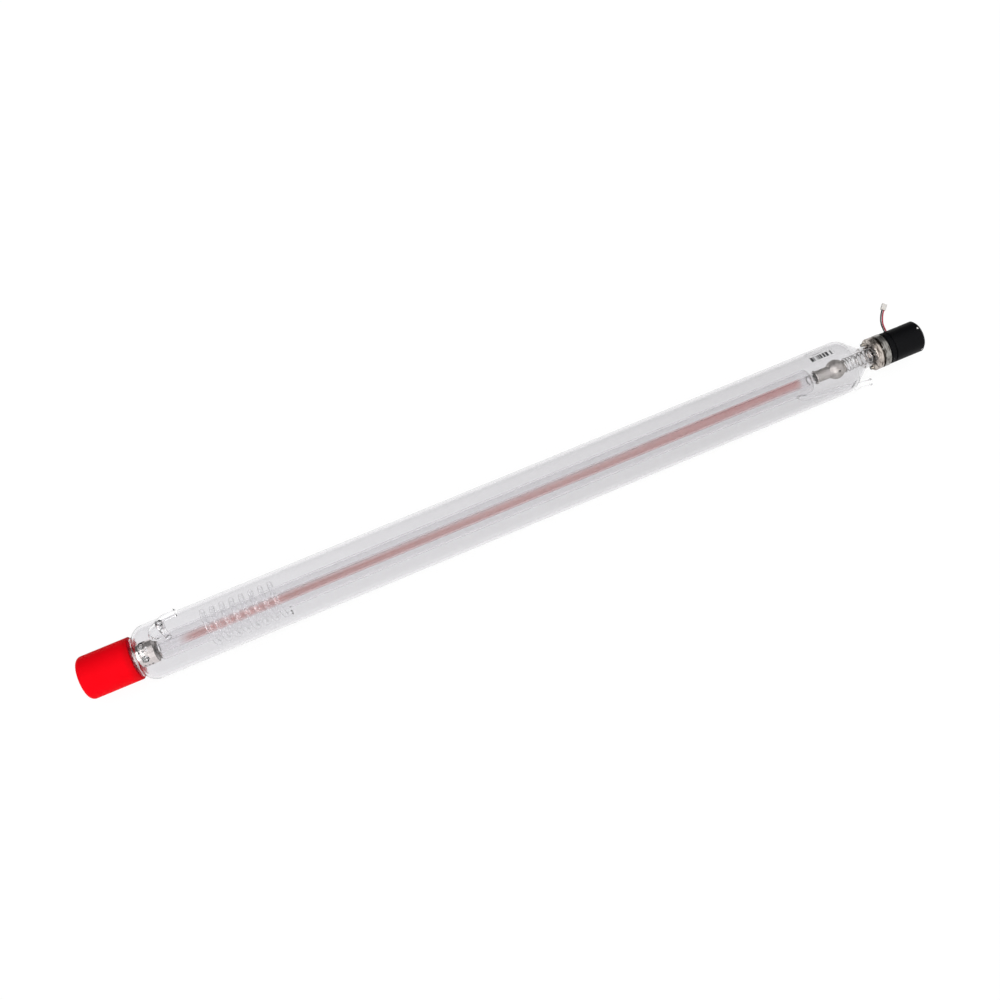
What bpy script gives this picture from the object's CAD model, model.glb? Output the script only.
import math
import bmesh
import bpy
from mathutils import Matrix, Vector


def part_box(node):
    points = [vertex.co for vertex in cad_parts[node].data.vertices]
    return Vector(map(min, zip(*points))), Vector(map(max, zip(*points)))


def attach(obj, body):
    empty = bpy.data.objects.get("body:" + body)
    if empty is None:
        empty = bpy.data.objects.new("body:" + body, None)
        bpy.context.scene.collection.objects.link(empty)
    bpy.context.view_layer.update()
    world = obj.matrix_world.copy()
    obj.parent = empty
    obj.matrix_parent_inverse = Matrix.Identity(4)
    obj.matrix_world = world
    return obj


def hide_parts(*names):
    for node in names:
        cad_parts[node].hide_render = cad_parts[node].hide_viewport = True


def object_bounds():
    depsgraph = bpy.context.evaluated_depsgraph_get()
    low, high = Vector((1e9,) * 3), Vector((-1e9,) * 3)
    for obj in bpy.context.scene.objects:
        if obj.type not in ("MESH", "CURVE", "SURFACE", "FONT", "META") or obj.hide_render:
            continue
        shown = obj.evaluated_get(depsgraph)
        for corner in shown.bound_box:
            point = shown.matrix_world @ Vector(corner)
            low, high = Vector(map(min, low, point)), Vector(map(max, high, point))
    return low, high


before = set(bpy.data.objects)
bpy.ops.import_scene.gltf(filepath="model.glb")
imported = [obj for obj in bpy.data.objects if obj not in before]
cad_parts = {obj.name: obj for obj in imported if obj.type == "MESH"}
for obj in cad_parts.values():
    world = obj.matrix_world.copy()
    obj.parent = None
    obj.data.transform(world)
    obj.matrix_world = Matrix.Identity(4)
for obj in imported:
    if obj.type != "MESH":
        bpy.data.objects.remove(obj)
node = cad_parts
cad_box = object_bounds()

# ---- Camera ----
# A camera over the front of the tube that looks down on it and is a little rolled, so that the
# tube runs up to the right across a square frame.
focal_px, picture_px, film_mm = 1138, 1000, 36
sight = bpy.data.cameras.new("sight")
sight.sensor_fit = "HORIZONTAL"
sight.sensor_width = film_mm
sight.lens = focal_px / picture_px * film_mm
sight.clip_end = 50
viewer = bpy.data.objects.new("viewer", sight)
viewer.matrix_world = Matrix((
    (0.9205967, 0.3792546, -0.0931000, -0.1568116),
    (-0.3653872, 0.7523893, -0.5480899, -0.8881596),
    (-0.1378182, 0.5385873, 0.8312219, 1.3654940),
    (0, 0, 0, 1)))
bpy.context.scene.collection.objects.link(viewer)
bpy.context.scene.camera = viewer


# ---- Pointer wires and connector ----
# Two thin insulated wires, red and black, that leave the pointer head side by side through two
# holes and end crimped in a small white nylon connector.
class Socket:
    """An output in a material's node tree, which takes part in sums as a number does."""

    def __init__(self, tree, output=None):
        self.tree = tree
        self.output = output

    def node(self, kind, inputs=None, out=0, stops=None, **settings):
        """Adds a node: its settings first, then the values or links of its inputs."""
        new = self.tree.nodes.new("ShaderNode" + kind)
        for name, setting in settings.items():
            setattr(new, name, setting)
        if stops:
            ramp = new.color_ramp
            while len(ramp.elements) < len(stops):
                ramp.elements.new(0.5)
            for stop, (position, grey) in zip(ramp.elements, stops):
                stop.position = position
                stop.color = (grey, grey, grey, 1)
        for name, given in (inputs or {}).items():
            if isinstance(given, Socket):
                self.tree.links.new(given.output, new.inputs[name])
            else:
                new.inputs[name].default_value = given
        return Socket(self.tree, new.outputs[out] if len(new.outputs) else None)

    def maths(self, operation, first, second=0.0):
        return self.node("Math", {0: first, 1: second}, operation=operation)

    def fade(self, start, end, low=0.0, high=1.0, **settings):
        """Goes from low, where this value is start, to high, where it is end."""
        return self.node("MapRange", {0: self, 1: start, 2: end, 3: low, 4: high}, **settings)

    def outlets(self, names):
        """Several outputs of the node that this one belongs to."""
        return [Socket(self.tree, self.output.node.outputs[name]) for name in names]

    def __add__(self, other):
        return self.maths("ADD", self, other)

    def __sub__(self, other):
        return self.maths("SUBTRACT", self, other)

    def __rsub__(self, other):
        return self.maths("SUBTRACT", other, self)

    def __mul__(self, other):
        return self.maths("MULTIPLY", self, other)

    def __truediv__(self, other):
        return self.maths("DIVIDE", self, other)

    def __rtruediv__(self, other):
        return self.maths("DIVIDE", other, self)

    def __gt__(self, other):
        return self.maths("GREATER_THAN", self, other)

    def __lt__(self, other):
        return self.maths("LESS_THAN", self, other)

    __radd__ = __add__
    __rmul__ = __mul__


def material(name):
    """A new material and the socket that its nodes are called from."""
    new = bpy.data.materials.new(name)
    new.use_nodes = True
    new.node_tree.nodes.clear()
    return new, Socket(new.node_tree)


def place(tree):
    """Object coordinates, in metres, as a socket and as x, y and z."""
    spot = tree.node("TexCoord", out="Object")
    return spot, tree.node("SeparateXYZ", {0: spot}).outlets("XYZ")


def patches(tree, spot, scale, detail=2.0, stretch=(1, 1, 1)):
    """Soft noise from 0 to 1, so many patches to the metre."""
    mapped = tree.node("Mapping", {"Vector": spot, "Scale": stretch})
    return tree.node("TexNoise", {"Vector": mapped, "Scale": scale, "Detail": detail})


def between(low, high, share):
    """A number from low to high by a share from 0 to 1."""
    return low + (high - low) * share


def blend(tree, low, high, share):
    """A colour from low to high by a share from 0 to 1."""
    low, high = ((*colour, 1) if isinstance(colour, tuple) else colour for colour in (low, high))
    return tree.node("Mix", {0: share, 6: low, 7: high}, out=2, data_type="RGBA")


def relief(tree, height, depth):
    """Normals for a height from 0 to 1 that is so many metres deep."""
    return tree.node("Bump", {"Strength": 1.0, "Distance": depth, "Height": height})


def principled(tree, looks):
    """Ends a material in one surface with these values or links."""
    tree.node("OutputMaterial", {0: tree.node("BsdfPrincipled", looks)})


def dress(piece, skin):
    """Gives every face of a piece one material."""
    mesh = piece.data
    mesh.materials.clear()
    mesh.materials.append(skin)


# Each point of a wire is so far along from the collar's start and so far out from the tube's
# axis, in mm, at the same turn about the axis.
collar_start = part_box("pointer_collar")[0][0]
wire_turn = math.radians(57)
wire_d = 0.0021
wire_steps = 4
wire_routes = {
    "black": [(12.8, 18.2), (12.8, 24.5), (12.6, 29.5), (12.7, 35.1), (14.4, 41.9), (18.2, 49.5),
              (22.4, 55.3)],
    "red": [(15.3, 18.2), (15.3, 24.5), (15.1, 29.5), (15.1, 34.3), (16.7, 40.5), (20.3, 48.0),
            (24.3, 53.7)]}


def wire_point(route_point):
    along, out = route_point
    return Vector((collar_start + along / 1000, out / 1000 * math.sin(wire_turn),
                   out / 1000 * math.cos(wire_turn)))


def smooth_path(points, steps):
    """Points on one smooth curve through the given ones."""
    path = []
    for i in range(len(points) - 1):
        a, b, c, d = (points[max(0, min(len(points) - 1, i + k))] for k in (-1, 0, 1, 2))
        for s in range(steps):
            t = s / steps
            path.append(0.5 * (2 * b + (c - a) * t + (2 * a - 5 * b + 4 * c - d) * t * t
                               + (3 * b - a - 3 * c + d) * t ** 3))
    return path + [points[-1]]


def lay_cord(name, path, diameter):
    """A curve with a round section along a path."""
    curve = bpy.data.curves.new(name, "CURVE")
    curve.dimensions = "3D"
    curve.bevel_depth = diameter / 2
    curve.bevel_resolution = 5
    curve.use_fill_caps = True
    spline = curve.splines.new("POLY")
    spline.points.add(len(path) - 1)
    for point, where in zip(spline.points, path):
        point.co = (*where, 1)
    spline.use_smooth = True
    piece = bpy.data.objects.new(name, curve)
    bpy.context.scene.collection.objects.link(piece)
    return piece


def insulation(name, colour, worn):
    """Smooth extruded insulation with a faint unevenness and a soft shine."""
    skin, tree = material(name)
    spot, _ = place(tree)
    uneven = patches(tree, spot, 900)
    principled(tree, {
        "Base Color": blend(tree, colour, worn, uneven),
        "Roughness": between(0.3, 0.45, uneven),
        "Specular IOR Level": 0.25,
        "Normal": relief(tree, uneven, 0.00004)})
    return skin


wire_skins = {
    "black": insulation("black insulation", (0.008, 0.008, 0.010), (0.018, 0.017, 0.020)),
    "red": insulation("red insulation", (0.34, 0.006, 0.03), (0.45, 0.012, 0.045))}
for colour, route in wire_routes.items():
    path = smooth_path([wire_point(p) for p in route], wire_steps)
    wire = lay_cord("wire_" + colour + "_lead", path, wire_d)
    wire.data.materials.append(wire_skins[colour])
    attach(wire, "root")
    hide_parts("wire_" + colour)
    sum((b - a).length for a, b in zip(path, path[1:]))

skin, tree = material("white nylon")
spot, _ = place(tree)
cloud = patches(tree, spot, 500)
principled(tree, {
    "Base Color": blend(tree, (0.60, 0.57, 0.54), (0.74, 0.71, 0.68), cloud),
    "Roughness": between(0.32, 0.46, cloud),
    "Subsurface Weight": 0.3, "Subsurface Radius": (0.6, 0.5, 0.4), "Subsurface Scale": 0.001,
    "Normal": relief(tree, cloud, 0.00003)})
dress(node["wire_connector"], skin)


# ---- Outer jacket ----
# A drawn borosilicate tube of 80 mm with a shoulder flame-worked at each end. The glass is clear
# and a little greyer towards the output end.
def clear_glass(name, tint, deep, lines=0.0, streaks=(0.6, 60, 60), ior=1.47, smoke=None):
    """Clear glass with slight streaks in its body and its polish, drawn out along the tube."""
    skin, tree = material(name)
    spot, (x, _, _) = place(tree)
    streak = patches(tree, spot, 4, 3, streaks)
    body = blend(tree, tint, deep, streak)
    if smoke:
        body = blend(tree, body, smoke, x.fade(-0.5, 0.45))
    looks = {
        "Base Color": body,
        "Roughness": between(0.0, 0.02, streak),
        "Transmission Weight": 1.0, "IOR": ior}
    if lines:
        looks["Normal"] = relief(tree, streak, lines)
    principled(tree, looks)
    return skin


dress(node["outer_jacket"], clear_glass("jacket glass", (0.89, 0.885, 0.895), (0.86, 0.855, 0.87),
                                        ior=1.36, smoke=(0.815, 0.81, 0.82)))

# ---- Water jacket ----
# A second glass tube of 36 mm with rounded ends, which holds the cooling water round the
# discharge tube. It has faint drawing lines along it.
dress(node["water_jacket"], clear_glass("water jacket glass", (0.955, 0.95, 0.955),
                                        (0.925, 0.92, 0.93), 0.00006))

# ---- Discharge tube ----
# The bore in which the gas burns: a thick glass tube with a pink-red metal film inside that
# fades out towards both ends. The film is thickest on one side, which changes over from front
# to back near the output end.
film_start, film_full, film_last, film_end = -0.500, -0.472, 0.468, 0.474
change_start, change_end = 0.15, 0.42
tube_r, mid_wall_r = 0.00909, 0.0065
front_y, front_z = -0.835, -0.55


def from_axis(tree, y, z):
    """The distance from the tube's axis."""
    return tree.maths("SQRT", y * y + z * z)


skin, tree = material("coated glass")
spot, (x, y, z) = place(tree)
fleck = patches(tree, spot, 40, 3, (0.4, 6, 6))
far = x.fade(change_start, change_end)
side = (y * front_y + z * front_z) / tube_r
film = (x.fade(film_start, film_full, interpolation_type="SMOOTHSTEP")
        * x.fade(film_end, film_last, interpolation_type="SMOOTHSTEP")
        * between(side, side * -0.6, far).fade(-0.9, 0.1, 0.12, 1.0))
outer_film = blend(tree, blend(tree, (0.88, 0.65, 0.64), (0.84, 0.60, 0.59), fleck),
                   (0.86, 0.57, 0.56), far)
bore_film = blend(tree, blend(tree, (0.80, 0.62, 0.59), (0.74, 0.54, 0.51), fleck),
                  (0.80, 0.58, 0.56), far)
film_colour = blend(tree, outer_film, bore_film, from_axis(tree, y, z) < mid_wall_r)
principled(tree, {
    "Base Color": blend(tree, (0.955, 0.95, 0.955), film_colour, film),
    "Roughness": between(0.0, 0.05, fleck),
    "Transmission Weight": 1.0, "IOR": 1.47})
dress(node["discharge_tube"], skin)

# ---- Gas return coil ----
# A hollow glass tube wound by hand round the water jacket. It joins the bore to the gas space of
# the outer jacket, and its open end lies along the tube.
coil_start, coil_pitch, coil_r = -0.455, 0.0143, 0.025
coil_tube_d, coil_wall = 0.007, 0.0011
inlet_radii = (0.0079, 0.0125, 0.018)
coil_blend, coil_stub = 0.005, 0.003
coil_full_turns, inlet_turn, outlet_turn = 7, 147, -123
bend_step, wind_step = 15, 9
blend_turn = math.degrees(coil_blend / coil_r)
coil_sweep = 360 * coil_full_turns + inlet_turn - blend_turn - outlet_turn
coil_end = coil_start + coil_pitch * coil_sweep / 360


def around(along, radius, turn):
    """A point on the tube by its turn about the axis, in degrees from +Z towards +Y."""
    turn = math.radians(turn)
    return Vector((along, radius * math.sin(turn), radius * math.cos(turn)))


def bend_tube(name, path, diameter):
    """A round mesh tube along a path, open at both ends."""
    bent = lay_cord(name + "_path", path, diameter)
    bent.data.use_fill_caps = False
    mesh = bpy.data.meshes.new_from_object(bent)
    bpy.data.objects.remove(bent)
    bm = bmesh.new()
    bm.from_mesh(mesh)
    bmesh.ops.remove_doubles(bm, verts=bm.verts, dist=0.000001)
    bmesh.ops.recalc_face_normals(bm, faces=bm.faces)
    for face in bm.faces:
        face.smooth = True
    bm.to_mesh(mesh)
    bm.free()
    piece = bpy.data.objects.new(name, mesh)
    bpy.context.scene.collection.objects.link(piece)
    return piece


coil_path = [around(coil_start, radius, inlet_turn) for radius in inlet_radii]
for bend in range(0, 90, bend_step):
    short = coil_blend * (1 - math.sin(math.radians(bend)))
    swing = blend_turn * (1 - math.cos(math.radians(bend)))
    coil_path.append(around(coil_start, coil_r - short, inlet_turn - swing))
for wound in range(0, int(coil_sweep) + 1, wind_step):
    coil_path.append(around(coil_start + coil_pitch * wound / 360, coil_r,
                            inlet_turn - blend_turn - wound))
for bend in range(0, 90 + bend_step, bend_step):
    ahead = coil_blend * (1 - math.cos(math.radians(bend)))
    swing = blend_turn * math.sin(math.radians(bend))
    coil_path.append(around(coil_end + ahead, coil_r, outlet_turn - swing))
coil_path.append(around(coil_end + coil_blend + coil_stub, coil_r, outlet_turn - blend_turn))
coil = bend_tube("coil_glass", coil_path, coil_tube_d)
shell = coil.modifiers.new("wall", "SOLIDIFY")
shell.thickness = coil_wall
shell.offset = -1
blown_glass = clear_glass("blown glass", (0.995, 0.995, 0.995), (0.98, 0.98, 0.985), 0.00005,
                          (40, 40, 40), 1.3)
coil.data.materials.append(blown_glass)
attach(coil, "root")
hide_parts("gas_return_coil")

# ---- Water nozzles ----
# Two bent glass hose ends, one on a flared root beside the cap, the other run out through the
# shoulder at the output end.
dress(node["anode_water_nozzle"], blown_glass)
dress(node["cathode_water_nozzle"], blown_glass)

# ---- Anode ----
# A thin perforated metal sleeve in the glass, with a sealed tube, the rear mirror in its seat and
# a terminal behind it, all covered by the cap. The sleeve is dark inside.
turned = (60, 2, 2)
half_sleeve_wall = 0.0005


def metal(name, colour, stain, rough=(0.16, 0.3), scale=turned, depth=0.00002, grain=60):
    """Turned and polished metal with fine tool lines and faint stains."""
    skin, tree = material(name)
    spot, _ = place(tree)
    line = patches(tree, spot, grain, 3, scale)
    cloud = patches(tree, spot, 90, 2)
    principled(tree, {
        "Base Color": blend(tree, colour, stain, cloud),
        "Metallic": 1.0,
        "Roughness": between(*rough, line),
        "Normal": relief(tree, line, depth)})
    return skin


skin, tree = material("sleeve metal")
spot, (x, y, z) = place(tree)
ring_line = patches(tree, spot, 60, 3, turned)
inside = from_axis(tree, y, z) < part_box("anode_sleeve")[1][2] - half_sleeve_wall
polished = blend(tree, (0.84, 0.80, 0.78), (0.62, 0.56, 0.53), ring_line)
principled(tree, {
    "Base Color": blend(tree, polished, (0.10, 0.07, 0.055), inside),
    "Metallic": 1.0,
    "Roughness": between(0.08, 0.18, ring_line),
    "Normal": relief(tree, ring_line, 0.000006)})
dress(node["anode_sleeve"], skin)

nickel = metal("nickel", (0.68, 0.65, 0.61), (0.56, 0.52, 0.48))
steel = metal("bright steel", (0.62, 0.61, 0.60), (0.5, 0.49, 0.48))
brass = metal("brass", (0.78, 0.58, 0.26), (0.68, 0.48, 0.2))
for name in ("anode_seal_tube", "rear_mirror_seat", "rear_mirror_cover"):
    dress(node[name], nickel)
dress(node["rear_mirror_screws"], steel)
dress(node["anode_terminal"], brass)

skin, tree = material("gold mirror")
spot, _ = place(tree)
cloud = patches(tree, spot, 120)
principled(tree, {
    "Base Color": blend(tree, (0.9, 0.72, 0.38), (0.86, 0.66, 0.32), cloud),
    "Metallic": 1.0, "Roughness": between(0.02, 0.06, cloud)})
dress(node["rear_mirror"], skin)

# ---- High voltage cap ----
# A moulded cap of red silicone rubber, pushed over the glass neck. It's smooth with a soft shine
# and a little darker where the lip is stretched over the glass. Inside the lip, light that comes
# through the rubber keeps it red.
lip_start, lip_end = -0.572, -0.559
lit_start, lit_r = -0.590, 0.0292
skin, tree = material("red silicone")
spot, (x, y, z) = place(tree)
cloud = patches(tree, spot, 45, 3)
grain = patches(tree, spot, 1500, 2)
lip = x.fade(lip_start, lip_end, interpolation_type="SMOOTHSTEP")
inside_lip = (x > lit_start) * (from_axis(tree, y, z) < lit_r)
body = blend(tree, (0.88, 0.001, 0.006), (0.96, 0.002, 0.010), cloud)
principled(tree, {
    "Base Color": blend(tree, body, (0.45, 0.003, 0.006), lip * 0.5),
    "Roughness": between(0.42, 0.58, cloud),
    "Specular IOR Level": 0.02,
    "Emission Color": blend(tree, (0, 0, 0), (0.30, 0.002, 0.012), inside_lip),
    "Emission Strength": 1.0,
    "Normal": relief(tree, cloud * 0.7 + grain * 0.3, 0.00012)})
dress(node["high_voltage_cap"], skin)

# ---- Cathode and its spring ----
# A thin nickel cylinder with a rolled mouth and a ball, and a coil spring that takes the current
# from it to the flange.
dress(node["cathode"], metal("cathode nickel", (0.66, 0.64, 0.62), (0.47, 0.43, 0.40),
                             rough=(0.48, 0.62), scale=(8, 8, 8), depth=0.0008, grain=14))

spring_pitch, spring_wire_d = 0.006, 0.0016
spring_low, spring_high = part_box("cathode_spring")
spring_r = spring_high[2] - spring_wire_d / 2
spring_start, spring_end = spring_low[0] + spring_wire_d / 2, spring_high[0] - spring_wire_d / 2
spring_sweep = 360 * (spring_end - spring_start) / spring_pitch
spring_path = [around(spring_start + spring_pitch * wound / 360, spring_r, -wound)
               for wound in range(0, int(spring_sweep) + 1, wind_step)]
spring = bend_tube("spring_wire", spring_path, spring_wire_d)
bm = bmesh.new()
bm.from_mesh(spring.data)
bmesh.ops.holes_fill(bm, edges=bm.edges, sides=0)
bm.to_mesh(spring.data)
bm.free()
spring.data.materials.append(steel)
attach(spring, "root")
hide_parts("cathode_spring")


# ---- Output flange and mirror ring ----
# A turned nickel flange soldered to the glass neck, whose groove lets three screws tilt the ring
# with the output mirror.
def stained_metal(name, bright, dull, stain):
    """Turned metal with rings, dark stains and the smears of solder round it."""
    skin, tree = material(name)
    spot, _ = place(tree)
    ring_line = patches(tree, spot, 60, 4, (9, 0.5, 0.5))
    blotch = patches(tree, spot, 130, 4, (3.2, 1, 1))
    rings = blend(tree, bright, dull, ring_line)
    principled(tree, {
        "Base Color": blend(tree, rings, stain, blotch.fade(0.46, 0.64, 0.0, 0.85)),
        "Metallic": 1.0,
        "Roughness": between(0.14, 0.34, ring_line),
        "Normal": relief(tree, blotch * 0.6 + ring_line * 0.4, 0.0007)})
    return skin


flange_metal = stained_metal("stained nickel", (0.64, 0.59, 0.55), (0.30, 0.255, 0.22),
                             (0.06, 0.042, 0.031))
ring_metal = stained_metal("dull nickel", (0.42, 0.41, 0.39), (0.20, 0.19, 0.175),
                           (0.05, 0.044, 0.038))
dress(node["output_flange"], flange_metal)
dress(node["adjusting_screws"], ring_metal)
dress(node["mirror_ring"], ring_metal)
dress(node["mirror_retainer"], steel)

skin, tree = material("amber optic")
spot, _ = place(tree)
cloud = patches(tree, spot, 120)
principled(tree, {
    "Base Color": blend(tree, (0.9, 0.62, 0.2), (0.86, 0.56, 0.16), cloud),
    "Roughness": between(0.01, 0.05, cloud), "Transmission Weight": 1.0, "IOR": 2.4})
dress(node["output_mirror"], skin)
dress(node["beam_combiner"], skin)

# ---- Pointer head ----
# A collar and a head of black anodised aluminium. The head holds the beam combiner and the red
# dot module, and four small set screws stand round its front edge.
skin, tree = material("black anodised")
spot, _ = place(tree)
line = patches(tree, spot, 60, 3, turned)
cloud = patches(tree, spot, 70, 2)
principled(tree, {
    "Base Color": blend(tree, (0.0015, 0.0016, 0.002), (0.003, 0.0031, 0.004), cloud),
    "Roughness": between(0.40, 0.55, line),
    "Specular IOR Level": 0.07,
    "Normal": relief(tree, line, 0.00002)})
dress(node["pointer_collar"], skin)
dress(node["pointer_housing"], skin)
dress(node["pointer_set_screws"], steel)
dress(node["pointer_module"], brass)

# ---- Label ----
# A thin clear film stuck on the jacket. It has a paler strip with a row of plain bars, and two
# faint printed lines above it, and no words. Lengths along it are in mm, turns in radians.
label_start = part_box("label")[0][0]
bars_per_mm, bar_pattern, gap_share = 1.1, 7, 0.28
bar_groups = ((0.8, 6.7), (9.6, 18.2), (20.0, 23.0), (24.6, 33.6))
bar_turns = (0.015, 0.222)
faint_lines = (((6.5, 21.5), (0.31, 0.33)), ((0.8, 14.0), (0.55, 0.57)))
strip_length, strip_turns = (0.4, 36), (-0.02, 0.26)


def within(value, low, high):
    """1 where a value lies between two others, else 0."""
    return (value > low) * (value < high)


skin, tree = material("label film")
spot, (x, y, z) = place(tree)
along = (x - label_start) * 1000
turn = tree.maths("ARCTAN2", y, z)
column = tree.maths("FLOOR", along * bars_per_mm + bar_pattern)
inked = tree.node("TexWhiteNoise", {"W": column}, noise_dimensions="1D") > gap_share
bars = sum(within(along, *group) for group in bar_groups) * within(turn, *bar_turns) * inked
lines = sum(within(along, *length) * within(turn, *turns) for length, turns in faint_lines)
strip = within(along, *strip_length) * within(turn, *strip_turns)
ink = bars + lines * 0.45
principled(tree, {
    "Base Color": blend(tree, (0.90, 0.90, 0.90), (0.02, 0.02, 0.024), ink > 0.3),
    "Roughness": between(0.5, 0.35, strip),
    "Alpha": tree.maths("MAXIMUM", strip * 0.30, tree.maths("MAXIMUM", ink, 0.06))})
dress(node["label"], skin)

# ---- Floor, lights and surroundings ----
# A plain white floor just under the tube, which shows white to the eye and keeps the tube's
# shadow, in a pale room.
floor_gap, floor_half = 0.0005, 30
bm = bmesh.new()
bmesh.ops.create_grid(bm, x_segments=1, y_segments=1, size=floor_half)
bmesh.ops.translate(bm, verts=bm.verts, vec=(0, 0, cad_box[0][2] - floor_gap))
mesh = bpy.data.meshes.new("floor")
bm.to_mesh(mesh)
bm.free()
floor = bpy.data.objects.new("floor", mesh)
bpy.context.scene.collection.objects.link(floor)
skin, tree = material("white floor")
matt = tree.node("BsdfDiffuse", {"Color": (0.85, 0.85, 0.85, 1)})
glow = tree.node("Emission", {"Color": (1, 1, 1, 1), "Strength": 1.05})
to_eye, glossy, through = tree.node("LightPath").outlets(
    ("Is Camera Ray", "Is Glossy Ray", "Is Transmission Ray"))
seen = tree.maths("MAXIMUM", tree.maths("MAXIMUM", to_eye, glossy), through)
tree.node("OutputMaterial", {0: tree.node("MixShader", {0: seen * 0.9, 1: matt, 2: glow})})
floor.data.materials.append(skin)

# The room is bright in front and dark at the back, with a small opening for the eye. A lit panel
# at the left shows in polished metal and in the glass within the jacket. Lengthways is the X of
# a direction, and turns are in radians from +Z towards +Y.
eye_way, eye_edge, eye_full = (-0.093, -0.548, 0.831), 0.985, 0.995
panel_lengthways, panel_turns, panel_strength = (-0.85, -0.32), (-1.2, 0.26), 4.5
past_jacket_wall = 2.5
room = bpy.data.worlds.new("room")
room.use_nodes = True
room.node_tree.nodes.clear()
bpy.context.scene.world = room
tree = Socket(room.node_tree)
towards = tree.node("TexCoord")
lengthways, across, up = tree.node("SeparateXYZ", {0: towards}).outlets("XYZ")
turn = tree.maths("ARCTAN2", across, up)
sky = tree.node("ValToRGB", {0: turn / math.pi + 0.5}, stops=[
    (0.0, 1.35), (0.25, 1.3), (0.48, 1.15), (0.58, 0.95), (0.66, 0.2), (0.96, 0.16), (1.0, 0.4)])
eyewards = tree.node("VectorMath", {0: towards, 1: eye_way}, out="Value", operation="DOT_PRODUCT")
opening = eyewards.fade(eye_edge, eye_full, 1.0, 0.5)
glossy, walls_crossed = tree.node("LightPath").outlets(("Is Glossy Ray", "Transmission Depth"))
shown = tree.maths("MAXIMUM", glossy, walls_crossed > past_jacket_wall)
panel = within(lengthways, *panel_lengthways) * within(turn, *panel_turns) * shown
strength = opening + panel * panel_strength
tree.node("OutputWorld", {0: tree.node("Background", {"Color": sky, "Strength": strength})})

light_paths = bpy.context.scene.cycles
light_paths.max_bounces = 32
light_paths.transmission_bounces = 32
light_paths.transparent_max_bounces = 16
bpy.context.scene.view_settings.view_transform = "Standard"
